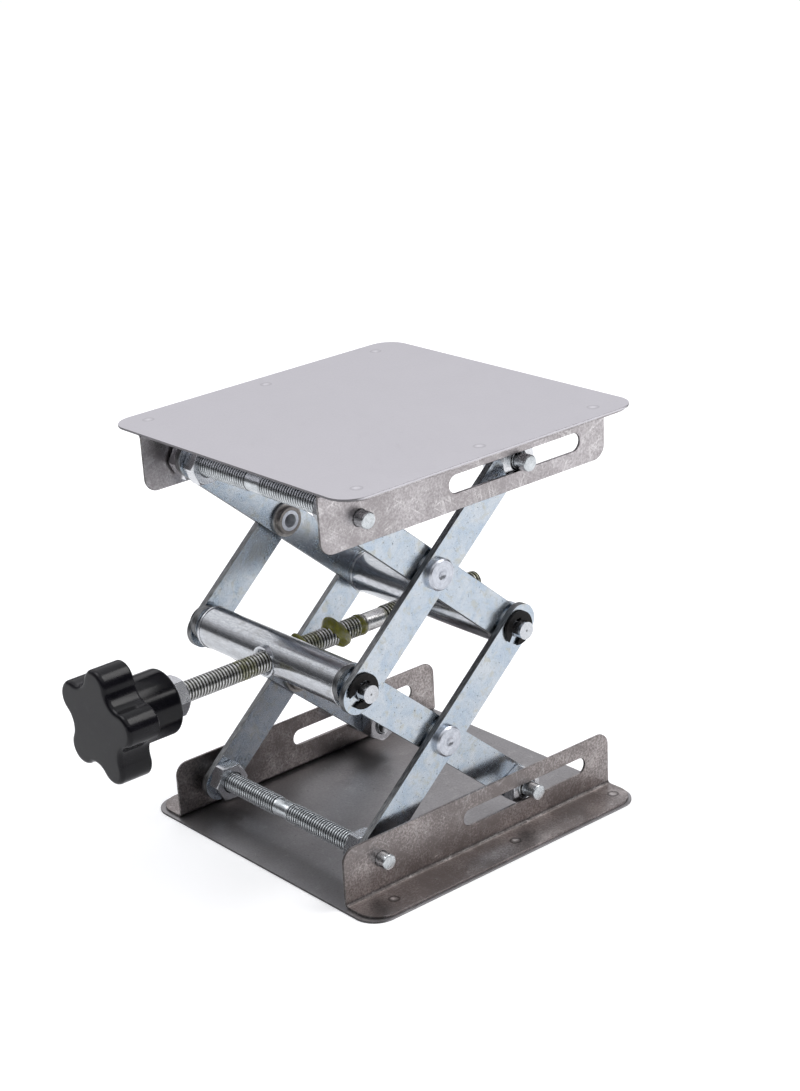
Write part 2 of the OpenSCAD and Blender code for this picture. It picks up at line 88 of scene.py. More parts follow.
class Shader:
    """A node material under construction. Positions are in millimetres in the jack's own frame."""

    def __init__(self, name):
        self.material = bpy.data.materials.new(name)
        self.material.use_nodes = True
        self.tree = self.material.node_tree
        self.surface = self.tree.nodes["Principled BSDF"]
        coordinates = self.tree.nodes.new("ShaderNodeTexCoord")
        self.position = self.vector("SCALE", coordinates.outputs["Object"], scale=1 / MM)
        self.normal = coordinates.outputs["Normal"]

    def feed(self, socket, value):
        """Links a socket, or sets a number or a colour."""
        if isinstance(value, bpy.types.NodeSocket):
            self.tree.links.new(value, socket)
        elif isinstance(value, (tuple, list)) and len(value) == 3 and socket.type == "RGBA":
            socket.default_value = (*value, 1.0)
        else:
            socket.default_value = value

    def vector(self, operation, first, second=None, scale=None):
        """Result of a vector operation."""
        node = self.tree.nodes.new("ShaderNodeVectorMath")
        node.operation = operation
        self.feed(node.inputs[0], first)
        if second is not None:
            self.feed(node.inputs[1], second)
        if scale is not None:
            self.feed(node.inputs["Scale"], scale)
        return node.outputs["Vector"]

    def math(self, operation, first, second=None):
        """Result of an operation on numbers."""
        node = self.tree.nodes.new("ShaderNodeMath")
        node.operation = operation
        self.feed(node.inputs[0], first)
        if second is not None:
            self.feed(node.inputs[1], second)
        return node.outputs[0]

    def part(self, vector, axis):
        """One component of a vector."""
        node = self.tree.nodes.new("ShaderNodeSeparateXYZ")
        self.feed(node.inputs[0], vector)
        return node.outputs[axis]

    def joined(self, number):
        """A vector with the number as its X."""
        node = self.tree.nodes.new("ShaderNodeCombineXYZ")
        self.feed(node.inputs["X"], number)
        return node.outputs[0]

    def stretched(self, scale):
        """The position, with each axis multiplied by its own number."""
        return self.vector("MULTIPLY", self.position, scale)

    def noise(self, per_mm, detail=3.0, roughness=0.5, distortion=0.0, vector=None):
        """Grey noise around 0.5, with so many waves per millimetre."""
        node = self.tree.nodes.new("ShaderNodeTexNoise")
        self.feed(node.inputs["Vector"], vector or self.position)
        node.inputs["Scale"].default_value = per_mm
        node.inputs["Detail"].default_value = detail
        node.inputs["Roughness"].default_value = roughness
        node.inputs["Distortion"].default_value = distortion
        return node.outputs["Fac"]

    def spread(self, value, low, high, to_low=0.0, to_high=1.0, smooth=False):
        """Maps value from low..high to to_low..to_high, clamped."""
        node = self.tree.nodes.new("ShaderNodeMapRange")
        if smooth:
            node.interpolation_type = "SMOOTHSTEP"
        for name, number in (("Value", value), ("From Min", low), ("From Max", high),
                             ("To Min", to_low), ("To Max", to_high)):
            self.feed(node.inputs[name], number)
        return node.outputs["Result"]

    def blend(self, factor, first, second):
        """Mixes two colours."""
        node = self.tree.nodes.new("ShaderNodeMix")
        node.data_type = "RGBA"
        self.feed(node.inputs["Factor"], factor)
        self.feed(node.inputs[MIX_FIRST], first)
        self.feed(node.inputs[MIX_SECOND], second)
        return node.outputs[MIX_RESULT]

    def bump(self, height, depth_mm, strength):
        """Normals tilted by a height of 0 to 1, which stands for a depth in millimetres."""
        node = self.tree.nodes.new("ShaderNodeBump")
        node.inputs["Strength"].default_value = strength
        node.inputs["Distance"].default_value = depth_mm * MM
        self.feed(node.inputs["Height"], height)
        return node.outputs["Normal"]

    def hairlines(self, angle_deg, across, along, axis="X_AXIS", width=0.035):
        """Fine straight scratches, 1 on a scratch, at an angle about an axis of the jack."""
        turn = self.tree.nodes.new("ShaderNodeVectorRotate")
        turn.rotation_type = axis
        turn.inputs["Angle"].default_value = math.radians(angle_deg)
        self.feed(turn.inputs["Vector"], self.position)
        shape = (across, along, across) if axis == "X_AXIS" else (along, across, across)
        band = self.noise(1.0, detail=0.0, vector=self.vector("MULTIPLY", turn.outputs[0], shape))
        line = self.math("ABSOLUTE", self.math("SUBTRACT", band, 0.5))
        return self.spread(line, 0.0, width, 1.0, 0.0)

    def scratches(self, angles, axis="X_AXIS", across=1.1, along=0.014, share=0.56):
        """Patches of hairlines at several angles."""
        total = None
        for angle in angles:
            mark = self.hairlines(angle, across, along, axis)
            total = mark if total is None else self.math("MAXIMUM", total, mark)
        gate = self.spread(self.noise(0.3, detail=2.0), share - 0.08, share + 0.14)
        return self.math("MULTIPLY", total, gate)

    def nearest(self, points, directions):
        """Distance from the nearest of several points, along some axes and on both sides of X."""
        sides = self.vector("MULTIPLY", self.position, (0.0, 1.0, 1.0))
        mirrored = self.vector("ADD", sides, self.joined(
            self.math("ABSOLUTE", self.part(self.position, "X"))))
        least = None
        for point in points:
            offset = self.vector("MULTIPLY", self.vector("SUBTRACT", mirrored, point), directions)
            node = self.tree.nodes.new("ShaderNodeVectorMath")
            node.operation = "LENGTH"
            self.feed(node.inputs[0], offset)
            length = node.outputs["Value"]
            least = length if least is None else self.math("MINIMUM", least, length)
        return least

    def radius(self, centres):
        """Distance in Y and Z from the nearest of several axes that lie along X."""
        return self.nearest([(0.0, y, z) for y, z in centres], (0.0, 1.0, 1.0))

    def stored(self, attribute):
        """A number stored on the mesh's vertices."""
        node = self.tree.nodes.new("ShaderNodeAttribute")
        node.attribute_name = attribute
        return node.outputs["Fac"]

    def finish(self, **inputs):
        """Sets the surface and gives back the material."""
        names = {"color": "Base Color", "metallic": "Metallic", "roughness": "Roughness",
                 "normal": "Normal", "coat": "Coat Weight", "coat_roughness": "Coat Roughness",
                 "specular": "Specular IOR Level", "glow": "Emission Strength"}
        for key, value in inputs.items():
            self.feed(self.surface.inputs[names[key]], value)
        if "glow" in inputs:
            self.feed(self.surface.inputs["Emission Color"], (1.0, 1.0, 1.0))
        return self.material


# Painted shade: near-black for the bends and for faces that point neither along X nor along Z.
BEND_PAINTED_SHADE = (0.03, 0.028, 0.027)
SCRATCH_TONE = (0.85, 0.84, 0.83)
WELD_X = 44.0
BASE_WELDS = (-38.0, 7.0, 46.0)
TOP_WELDS = (-42.0, -1.0, 40.0)
WELD_RING_R = 1.45


def weld_rings(s, color, weld_ys, strength):
    """Adds a dark ring with a bright middle at each spot weld."""
    spot = s.nearest([(WELD_X, y, 0.0) for y in weld_ys], (1.0, 1.0, 0.0))
    off_ring = s.math("ABSOLUTE", s.math("SUBTRACT", spot, WELD_RING_R))
    color = s.blend(s.spread(off_ring, 0.10, 0.45, strength, 0.0), color, (0.045, 0.04, 0.04))
    middle_share = s.spread(spot, 0.2, 1.1, strength * 0.5, 0.0)
    return s.blend(middle_share, color, (0.85, 0.83, 0.82))


def sheet_steel(name, tone, dark, roughness, mottle, scratch, pit=0.25,
                angles=(35, -22, 78, -58), axis="X_AXIS", share=0.50, welds=(), ring=0.5):
    """Satin steel sheet: fine mottling, cloudy stains, small pits, hairline scratches and painted
    shade in its bends.
    """
    s = Shader(name)
    grain = s.noise(1.5, detail=6.0, roughness=0.72)
    cloud = s.noise(0.05, detail=4.0, distortion=0.8)
    pits = s.spread(s.noise(0.9, detail=1.0), 0.26, 0.21)
    marks = s.scratches(angles, axis, share=share)
    amount = s.math("ADD", s.spread(grain, 0.36, 0.64, 0.0, mottle),
                    s.spread(cloud, 0.35, 0.65, 0.0, mottle * 0.8))
    color = s.blend(amount, tone, dark)
    upright = s.math("ABSOLUTE", s.part(s.normal, "X"))
    level = s.math("ABSOLUTE", s.part(s.normal, "Z"))
    # Painted shade darkens the bends, where a bright reflection would run, and the faces that point
    # along Y.
    bend = s.spread(s.math("MAXIMUM", upright, level), 0.90, 0.995, 1.0, 0.0)
    color = s.blend(s.math("MULTIPLY", bend, 0.62), color, BEND_PAINTED_SHADE)
    color = s.blend(s.math("MULTIPLY", pits, pit), color, (0.08, 0.075, 0.07))
    color = s.blend(s.math("MULTIPLY", marks, scratch), color, SCRATCH_TONE)
    if welds:
        color = weld_rings(s, color, welds, ring)
    rough = s.spread(grain, 0.3, 0.7, roughness - 0.05, roughness + 0.07)
    rough = s.math("SUBTRACT", rough, s.math("MULTIPLY", marks, 0.10))
    rough = s.math("ADD", rough, s.math("MULTIPLY", bend, 0.25))
    height = s.math("SUBTRACT", s.math("MULTIPLY", grain, 0.5), s.math("MULTIPLY", marks, 0.4))
    return s.finish(color=color, metallic=1.0, roughness=rough,
                    normal=s.bump(height, 0.012, 0.6))


def zinc_strip(name, tone, blue, edge):
    """Zinc-plated strip: pale blue mottled faces with specks, and brushed, sheared edges."""
    s = Shader(name)
    patches = s.noise(0.22, detail=5.0, roughness=0.62, distortion=0.5)
    grain = s.noise(2.2, detail=4.0, roughness=0.7)
    specks = s.spread(s.noise(1.15, detail=2.5, roughness=0.85), 0.36, 0.31)
    stains = s.spread(s.noise(0.45, detail=4.0, distortion=0.5), 0.54, 0.70)
    marks = s.scratches((15, -12, 75), share=0.56)
    color = s.blend(s.spread(patches, 0.35, 0.65), tone, blue)
    color = s.blend(s.spread(grain, 0.35, 0.75, 0.0, 0.30), color, (0.27, 0.31, 0.36))
    color = s.blend(s.math("MULTIPLY", stains, 0.50), color, (0.46, 0.44, 0.35))
    color = s.blend(s.math("MULTIPLY", specks, 0.75), color, (0.08, 0.085, 0.09))
    color = s.blend(s.math("MULTIPLY", marks, 0.14), color, (0.10, 0.11, 0.12))
    face = s.spread(s.math("ABSOLUTE", s.part(s.normal, "X")), 0.75, 0.95)
    streak = s.noise(1.0, detail=3.0, vector=s.stretched((3.6, 0.5, 0.5)))
    sheared = s.blend(s.spread(streak, 0.3, 0.7), edge, (0.07, 0.072, 0.075))
    color = s.blend(face, sheared, color)
    texture = s.math("ADD", s.math("MULTIPLY", grain, 0.6), s.math("MULTIPLY", patches, 0.4))
    rough = s.spread(texture, 0.3, 0.7, 0.17, 0.32)
    rough = s.math("MAXIMUM", rough, s.spread(face, 0.0, 1.0, 0.40, 0.0))
    height = s.math("ADD", s.math("MULTIPLY", grain, 0.4), s.math("MULTIPLY", patches, 1.3))
    height = s.math("SUBTRACT", height, s.math("MULTIPLY", specks, 0.5))
    return s.finish(color=color, metallic=1.0, roughness=rough, normal=s.bump(height, 0.02, 0.55))


def bright_zinc(name, tone, shade, roughness, mottle=0.3, bump=0.35):
    """Bright zinc on small parts: cloudy tone, grain and specks."""
    s = Shader(name)
    patches = s.noise(0.5, detail=4.0, roughness=0.65, distortion=0.5)
    grain = s.noise(3.0, detail=4.0, roughness=0.7)
    specks = s.spread(s.noise(2.1, detail=2.0, roughness=0.8), 0.33, 0.28)
    color = s.blend(s.spread(patches, 0.35, 0.65, 0.0, mottle), tone, shade)
    color = s.blend(s.spread(grain, 0.4, 0.75, 0.0, 0.35), color, (0.18, 0.18, 0.19))
    color = s.blend(s.math("MULTIPLY", specks, 0.6), color, (0.06, 0.06, 0.065))
    texture = s.math("ADD", s.math("MULTIPLY", grain, 0.5), s.math("MULTIPLY", patches, 0.5))
    rough = s.spread(texture, 0.3, 0.7, roughness - 0.05, roughness + 0.09)
    height = s.math("ADD", s.math("MULTIPLY", grain, 0.35), s.math("MULTIPLY", patches, 0.9))
    height = s.math("SUBTRACT", height, s.math("MULTIPLY", specks, 0.4))
    return s.finish(color=color, metallic=1.0, roughness=rough, normal=s.bump(height, 0.02, bump))


PIN_END_X = 37.4


def drawn_bar(name, tone, shade, axes):
    """Zinc on drawn round bar: grainy streaks along it, and painted shade of a centre dimple in
    each end's pin.
    """
    s = Shader(name)
    streaks = s.noise(1.0, detail=5.0, roughness=0.72, vector=s.stretched((0.45, 2.6, 2.6)))
    grain = s.noise(3.2, detail=3.0, roughness=0.75)
    stains = s.spread(s.noise(0.22, detail=4.0, distortion=0.6), 0.52, 0.70)
    color = s.blend(s.spread(streaks, 0.3, 0.7), tone, shade)
    color = s.blend(s.spread(grain, 0.45, 0.75, 0.0, 0.45), color, (0.13, 0.13, 0.14))
    color = s.blend(s.math("MULTIPLY", stains, 0.30), color, (0.30, 0.29, 0.27))
    # Painted shade: a near-black dot on each pin end's axis for the shade in its centre dimple.
    mark = s.spread(s.radius(axes), 0.22, 0.42, 1.0, 0.0)
    out = s.math("ABSOLUTE", s.part(s.position, "X"))
    mark = s.math("MULTIPLY", mark, s.spread(out, PIN_END_X - 0.4, PIN_END_X))
    color = s.blend(s.math("MULTIPLY", mark, 0.8), color, (0.05, 0.05, 0.05))
    height = s.math("ADD", s.math("MULTIPLY", streaks, 0.9), s.math("MULTIPLY", grain, 0.5))
    return s.finish(color=color, metallic=1.0, roughness=s.spread(streaks, 0.3, 0.7, 0.12, 0.25),
                    normal=s.bump(height, 0.03, 0.38))


RIVET_BORE_R = 2.03
RIVET_BORE_END_X = 33.7


def rivet_zinc(name, tone, shade, axes):
    """Zinc on rivets, with turned rings about each axis, painted shade at the centre dimple, and a
    bore painted pale and dull as painted light on its inner wall.
    """
    s = Shader(name)
    radius = s.radius(axes)
    rings = s.noise(2.4, detail=2.0, vector=s.joined(radius))
    patches = s.noise(0.7, detail=4.0, roughness=0.65, distortion=0.5)
    color = s.blend(s.spread(patches, 0.35, 0.65), tone, shade)
    color = s.blend(s.spread(rings, 0.52, 0.66, 0.0, 0.35), color, (0.22, 0.22, 0.24))
    # Painted shade of the centre dimple on the rivet's axis.
    dimple_shade = s.spread(radius, 0.25, 0.55, 0.35, 0.0)
    color = s.blend(dimple_shade, color, (0.10, 0.10, 0.11))
    out = s.math("ABSOLUTE", s.part(s.position, "X"))
    # Painted light: the bore is painted pale and less metallic to look like a lit inner wall.
    hollow = s.math("MULTIPLY", s.spread(radius, RIVET_BORE_R, RIVET_BORE_R + 0.07, 1.0, 0.0),
                    s.spread(out, RIVET_BORE_END_X - 0.2, RIVET_BORE_END_X, 1.0, 0.0))
    color = s.blend(s.math("MULTIPLY", hollow, 0.8), color, (0.80, 0.82, 0.84))
    metallic = s.spread(hollow, 0.0, 1.0, 1.0, 0.25)
    rough = s.spread(patches, 0.3, 0.7, 0.26, 0.38)
    return s.finish(color=color, metallic=metallic, roughness=rough,
                    normal=s.bump(s.math("ADD", rings, patches), 0.02, 0.4))


def collar_zinc(name, tone, rim, rim_x):
    """Worn zinc on a rivet's rolled end, darker on the rolled rim, which lies inside rim_x."""
    s = Shader(name)
    grain = s.noise(2.0, detail=5.0, roughness=0.75)
    rolled = s.spread(s.math("ABSOLUTE", s.part(s.position, "X")), rim_x - 0.05, rim_x, 1.0, 0.0)
    color = s.blend(rolled, tone, rim)
    color = s.blend(s.spread(grain, 0.42, 0.72, 0.0, 0.6), color, (0.07, 0.065, 0.06))
    return s.finish(color=color, metallic=1.0, roughness=s.spread(grain, 0.3, 0.7, 0.28, 0.42),
                    normal=s.bump(grain, 0.08, 0.6))


GREASE_FADE_OUT, GREASE_FADE_IN = 1.2, 0.8
# Where the painted shade in the thread's grooves turns from dry to oily along Y.
DRY_GROOVE_Y, OILY_GROOVE_Y = -58.0, -50.0


def thread_zinc(name, tone, shade, grease_spans=()):
    """Zinc thread with painted shade in its grooves, and greasy spans (start, end) in mm along Y.
    """
    s = Shader(name)
    patches = s.noise(0.45, detail=3.0)
    grain = s.noise(2.0, detail=3.0, roughness=0.6)
    color = s.blend(s.spread(patches, 0.35, 0.65), tone, shade)
    color = s.blend(s.spread(grain, 0.5, 0.75, 0.0, 0.35), color, (0.16, 0.16, 0.16))
    rough = s.spread(grain, 0.3, 0.7, 0.22, 0.34)
    metallic = 1.0
    # Painted shade: the grooves are darkened, with a grease tint on the screw.
    groove = s.spread(s.stored("groove"), 0.18, 0.62)
    groove_shade_and_grease = (0.045, 0.045, 0.045)
    if grease_spans:
        y = s.part(s.position, "Y")
        wet = None
        for start, end in grease_spans:
            rise = s.spread(y, start - GREASE_FADE_OUT, start + GREASE_FADE_IN, smooth=True)
            fall = s.spread(y, end - GREASE_FADE_IN, end + GREASE_FADE_OUT, 1.0, 0.0, smooth=True)
            span = s.math("MULTIPLY", rise, fall)
            wet = span if wet is None else s.math("MAXIMUM", wet, span)
        wet = s.math("MULTIPLY", wet, s.spread(s.noise(0.7, detail=3.0), 0.36, 0.60))
        color = s.blend(s.math("MULTIPLY", wet, 0.75), color, (0.20, 0.20, 0.06))
        metallic = s.spread(wet, 0.0, 1.0, 1.0, 0.45)
        oily = s.spread(y, DRY_GROOVE_Y, OILY_GROOVE_Y)
        groove_shade_and_grease = s.blend(oily, (0.10, 0.10, 0.085), (0.055, 0.055, 0.03))
    color = s.blend(s.math("MULTIPLY", groove, 0.95), color, groove_shade_and_grease)
    return s.finish(color=color, metallic=metallic, roughness=rough)


def grease(name):
    """Olive grease: glossy, cloudy and slightly gritty."""
    s = Shader(name)
    cloud = s.noise(0.8, detail=4.0, roughness=0.6)
    color = s.blend(s.spread(cloud, 0.3, 0.7), (0.235, 0.23, 0.03), (0.10, 0.095, 0.013))
    grit = s.spread(s.noise(3.0, detail=2.0), 0.30, 0.24)
    color = s.blend(s.math("MULTIPLY", grit, 0.6), color, (0.03, 0.03, 0.01))
    return s.finish(color=color, roughness=s.spread(cloud, 0.3, 0.7, 0.20, 0.36), coat=0.3,
                    coat_roughness=0.15, normal=s.bump(s.noise(1.4, detail=4.0), 0.12, 0.5))


def black_plastic(name):
    """Black moulded plastic: a faint cool cast, fine pebbling and light rub marks."""
    s = Shader(name)
    pebble = s.noise(6.0, detail=3.0, roughness=0.6)
    cloud = s.noise(0.12, detail=3.0)
    marks = s.scratches((10, 60, -40), share=0.60)
    color = s.blend(s.spread(cloud, 0.35, 0.65), (0.003, 0.003, 0.0045), (0.006, 0.0055, 0.008))
    color = s.blend(s.math("MULTIPLY", marks, 0.05), color, (0.20, 0.20, 0.22))
    front = s.spread(s.part(s.normal, "Y"), -0.95, -0.70, 1.0, 0.0)
    rough = s.spread(cloud, 0.35, 0.65, 0.15, 0.21)
    rough = s.math("ADD", rough, s.math("MULTIPLY", front, 0.16))
    return s.finish(color=color, roughness=rough, specular=0.22,
                    normal=s.bump(pebble, 0.006, 0.25))


def black_spring_steel(name):
    """Blackened spring steel: dull, with brown-grey rubbed patches."""
    s = Shader(name)
    patches = s.noise(1.1, detail=4.0, roughness=0.7)
    color = s.blend(s.spread(patches, 0.50, 0.75), (0.006, 0.0055, 0.0055), (0.030, 0.025, 0.022))
    return s.finish(color=color, metallic=0.4, roughness=s.spread(patches, 0.3, 0.7, 0.38, 0.58),
                    specular=0.3, normal=s.bump(patches, 0.08, 0.6))


PAPER_GLOW = 0.22


def pale_floor(name):
    """Seamless studio paper: white with a barely visible tooth, overexposed for the camera."""
    s = Shader(name)
    tooth = s.noise(0.6, detail=4.0)
    color = s.blend(s.spread(tooth, 0.3, 0.7), (0.93, 0.93, 0.935), (0.95, 0.95, 0.955))
    seen = s.tree.nodes.new("ShaderNodeLightPath").outputs["Is Camera Ray"]
    return s.finish(color=color, roughness=0.9, specular=0.2, normal=s.bump(tooth, 0.05, 0.1),
                    glow=s.math("MULTIPLY", seen, PAPER_GLOW))


BAR_AXES = [(middle(n).y / MM, middle(n).z / MM) for n in ("front_crossbar", "rear_crossbar")]
RIVET_AXES = [(middle(n).y / MM, middle(n).z / MM)
              for n in ("lower_centre_rivets", "upper_centre_rivets")]
COLLAR_RIM_X = 28.86

TOP_SHEET = sheet_steel("top_sheet", (0.66, 0.645, 0.68), (0.63, 0.615, 0.65), 0.44, 0.35, 0.05,
                        pit=0.05, angles=(30, 75), axis="Z_AXIS", share=0.60,
                        welds=TOP_WELDS, ring=0.16)
# Painted shade: the top plate's steel, painted darker because the top plate shades the base plate.
BASE_SHEET_PAINTED_SHADE = sheet_steel("base_sheet_painted_shade", (0.36, 0.35, 0.36), (0.27, 0.26, 0.265), 0.42, 0.60, 0.18,
                         pit=0.35, angles=(30, -15, 75), axis="Z_AXIS", share=0.60)
TOP_RAIL = sheet_steel("top_rail_sheet", (0.60, 0.57, 0.585), (0.35, 0.325, 0.33), 0.36, 0.90, 0.45)
# Painted shade: the top rails' steel, painted darker for the shade low down under the top plate.
BASE_RAIL_PAINTED_SHADE = sheet_steel("base_rail_sheet_painted_shade", (0.55, 0.50, 0.49), (0.23, 0.205, 0.20), 0.36, 1.0, 0.22,
                        welds=BASE_WELDS, ring=0.7)
ARM_ZINC = zinc_strip("arm_zinc", (0.58, 0.62, 0.66), (0.45, 0.53, 0.62), (0.25, 0.255, 0.26))
BAR_ZINC = drawn_bar("bar_zinc", (0.72, 0.74, 0.77), (0.47, 0.49, 0.52), BAR_AXES)
NUT_ZINC = bright_zinc("nut_zinc", (0.72, 0.73, 0.76), (0.48, 0.50, 0.52), 0.22, bump=0.5)
WASHER_ZINC = bright_zinc("washer_zinc", (0.76, 0.77, 0.79), (0.55, 0.56, 0.58), 0.26, bump=0.4)
RIVET_ZINC = rivet_zinc("rivet_zinc", (0.62, 0.645, 0.70), (0.49, 0.515, 0.57), RIVET_AXES)
COLLAR_ZINC = collar_zinc("collar_zinc", (0.50, 0.48, 0.46), (0.30, 0.28, 0.265), COLLAR_RIM_X)
ROD_ZINC = thread_zinc("rod_zinc", (0.66, 0.69, 0.71), (0.52, 0.55, 0.57))
SCREW_ZINC = thread_zinc("screw_zinc", (0.66, 0.66, 0.66), (0.52, 0.52, 0.51),
                         [(-52.5, -46.5), (-31.0, -24.0), (-13.0, -8.5), (-0.5, 4.0), (30.0, 37.0)])
CLIP_BLACK = black_spring_steel("clip_black")
KNOB_BLACK = black_plastic("knob_black")
GREASE = grease("olive_grease")


# ---------------------------------------------------------------- mesh helpers

def mesh_piece(name, vertices, faces, material, body, sharp_deg=50.0, groove=None):
    """A new piece from vertices in mm, riding on a CAD body. groove is 1 deep in a thread."""
    mesh = bpy.data.meshes.new(name)
    mesh.from_pydata((np.asarray(vertices, float) * MM).tolist(), [], faces)
    mesh.validate()
    mesh.polygons.foreach_set("use_smooth", [True] * len(mesh.polygons))
    mesh.set_sharp_from_angle(angle=math.radians(sharp_deg))
    mesh.materials.append(material)
    if groove is not None:
        mesh.attributes.new("groove", "FLOAT", "POINT").data.foreach_set("value", groove)
    piece = bpy.data.objects.new(name, mesh)
    bpy.context.scene.collection.objects.link(piece)
    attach(piece, body)
    return piece


def ring_faces(rings, around):
    """Quads between rings of vertices, and a fan at each end, whose centres are the last two."""
    faces = []
    for i in range(rings - 1):
        for j in range(around):
            k = (j + 1) % around
            a, b = i * around, (i + 1) * around
            faces.append((a + j, a + k, b + k, b + j))
    start, end = rings * around, rings * around + 1
    last = (rings - 1) * around
    for j in range(around):
        k = (j + 1) % around
        faces.append((start, k, j))
        faces.append((end, last + j, last + k))
    return faces


def flipped(faces):
    """The same faces seen from their other side."""
    return [tuple(reversed(face)) for face in faces]


# ---------------------------------------------------------------- threads

PITCH = 1.0
CREST_R = 2.93
BLANK_R = 2.675
ROOT_R = 2.42
END_ROOT_R = 2.30
ROWS_PER_PITCH = 12
AROUND = 44
RUNOUT = 0.9
RIDGE_HEIGHT = 1.35  # in thread depths, cut off at 1 to give the crest its flat
RIDGE_SLOPE = 3.1


def thread_profile(s, turns, hand):
    """Radius of an endless thread at distance s and at each of the angles turns, in turns."""
    phase = (s / PITCH - hand * turns) % 1.0
    ridge = np.clip(RIDGE_HEIGHT - RIDGE_SLOPE * np.abs(phase - 0.5), 0.0, 1.0)
    ridge = ridge * ridge * (3 - 2 * ridge)
    return ROOT_R + (CREST_R - ROOT_R) * ridge


def threaded_stretch(start, end, hand, start_waist, end_waist):
    """Rows (s, radii, groove) of a thread that fades into a waist, or ends in a chamfer."""
    turns = np.arange(AROUND) / AROUND
    rows = []
    count = int((end - start) / PITCH * ROWS_PER_PITCH)
    for s in np.linspace(start, end, count + 1):
        radii = thread_profile(s, turns, hand)
        groove = (CREST_R - radii) / (CREST_R - ROOT_R)
        for distance, waist in ((s - start, start_waist), (end - s, end_waist)):
            if waist:
                fade = min(1.0, distance / RUNOUT)
                radii = BLANK_R + (radii - BLANK_R) * fade
                groove = groove * fade
            else:
                radii = np.minimum(radii, END_ROOT_R + distance)
        rows.append((s, radii, groove))
    return rows


def plain_stretch(points):
    """Rows from (s, radius) pairs."""
    return [(s, np.full(AROUND, r), np.zeros(AROUND)) for s, r in points]


def turned_bar(rows, along, at):
    """Vertices, faces and groove depths of a bar from its rows, along X or Y, centred on at."""
    angles = 2 * np.pi * np.arange(AROUND) / AROUND
    blocks = [np.stack([np.full(AROUND, s), radii * np.cos(angles), radii * np.sin(angles)], axis=1)
              for s, radii, _ in rows]
    ends = np.array([[rows[0][0], 0.0, 0.0], [rows[-1][0], 0.0, 0.0]])
    local = np.concatenate(blocks + [ends])
    groove = np.concatenate([row[2] for row in rows] + [np.zeros(2)])
    faces = ring_faces(len(rows), AROUND)
    if along == "X":
        return local + np.array([0.0, at.y / MM, at.z / MM]), faces, groove
    turned = local[:, [1, 0, 2]] * np.array([-1.0, 1.0, 1.0])
    return turned + np.array([at.x / MM, 0.0, at.z / MM]), faces, groove


RIGHT_HAND, LEFT_HAND = 1, -1
WAIST_LOW, WAIST_HIGH = -5.8, -0.8
SHOULDER = 36.8
ROD_END_R = 2.25
SLIDE_PIN_INNER = 24.4
TIP_ROUND = 0.35


def smooth_end(start, tip):
    """Plain end of a rod from start out to its rounded tip, in order along the axis."""
    way = 1 if tip > start else -1
    points = [(start, ROD_END_R), (tip - way * TIP_ROUND, ROD_END_R)]
    for degrees in (30, 60, 90):
        angle = math.radians(degrees)
        points.append((tip - way * TIP_ROUND * (1 - math.sin(angle)),
                       ROD_END_R - TIP_ROUND * (1 - math.cos(angle))))
    rows = plain_stretch(points)
    return rows if way > 0 else rows[::-1]


def pivot_rod(name, node, at, body):
    """Threaded rod with a plain waist and smooth ends."""
    rows = smooth_end(-SHOULDER, -ROD_TIP)
    rows += threaded_stretch(-SHOULDER, WAIST_LOW, RIGHT_HAND, False, True)
    rows += threaded_stretch(WAIST_HIGH, SHOULDER, RIGHT_HAND, True, False)
    rows += smooth_end(SHOULDER, ROD_TIP)
    vertices, faces, groove = turned_bar(rows, "X", at)
    piece = mesh_piece(name, vertices, faces, ROD_ZINC, body, groove=groove)
    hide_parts(node)


def slide_pins(name, node, at, body):
    """Both slide pins at one plate, as two solids in one piece."""
    rows = threaded_stretch(SLIDE_PIN_INNER, SHOULDER, RIGHT_HAND, False, False)
    rows += smooth_end(SHOULDER, ROD_TIP)
    vertices, faces, groove = turned_bar(rows, "X", at)
    left = vertices * np.array([-1.0, 1.0, 1.0])
    left_faces = [tuple(i + len(vertices) for i in face) for face in flipped(faces)]
    both = np.concatenate([vertices, left])
    piece = mesh_piece(name, both, faces + left_faces, ROD_ZINC, body,
                       groove=np.concatenate([groove, groove]))
    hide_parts(node)


HIDDEN_END = 1.0
HIDDEN_STEP = 0.1
SCREW_WAIST_FRONT, SCREW_WAIST_BACK = -6.8, -0.3


def drive_screw():
    """Screw whose front thread is left-hand and whose rear thread is right-hand."""
    hidden = KNOB_BACK - HIDDEN_END
    rows = plain_stretch([(SCREW_START, END_ROOT_R), (hidden, END_ROOT_R)])
    rows += threaded_stretch(hidden + HIDDEN_STEP, SCREW_WAIST_FRONT, LEFT_HAND, False, True)
    rows += threaded_stretch(SCREW_WAIST_BACK, SCREW_END, RIGHT_HAND, True, False)
    vertices, faces, groove = turned_bar(rows, "Y", SCREW)
    piece = mesh_piece("drive_screw_threaded", vertices, faces, SCREW_ZINC, "drive_screw",
                       groove=groove)
    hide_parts("drive_screw")


# ---------------------------------------------------------------- grease

GREASE_RINGS = 26
GREASE_AROUND = 64
GREASE_ROOT_R = 2.45
GREASE_BASE = 0.35
GREASE_ANGLES = 2 * np.pi * np.arange(GREASE_AROUND) / GREASE_AROUND
PEAK_SPREAD_DEG = 36.0
GREASE_LUMPS = [
    # name, centre y, slant, half length, thickness, peak height, peak angle
    ("grease_lump", -16.7, 1.5, 2.2, 1.15, 1.5, 96.0),
    ("grease_smear_waist", -8.6, 0.3, 1.3, 0.25, 0.35, 60.0),
]


def grease_crown(height, peak_deg, spread_deg):
    """Added thickness at each of the grease's angles, greatest at one of them."""
    off_peak = (np.degrees(GREASE_ANGLES) - peak_deg + 540) % 360 - 180
    return height * np.exp(-off_peak ** 2 / (2 * spread_deg ** 2))


def round_screw(y, radii):
    """A ring of points round the screw's axis."""
    return np.stack([radii * np.cos(GREASE_ANGLES), y, radii * np.sin(GREASE_ANGLES)], axis=1)


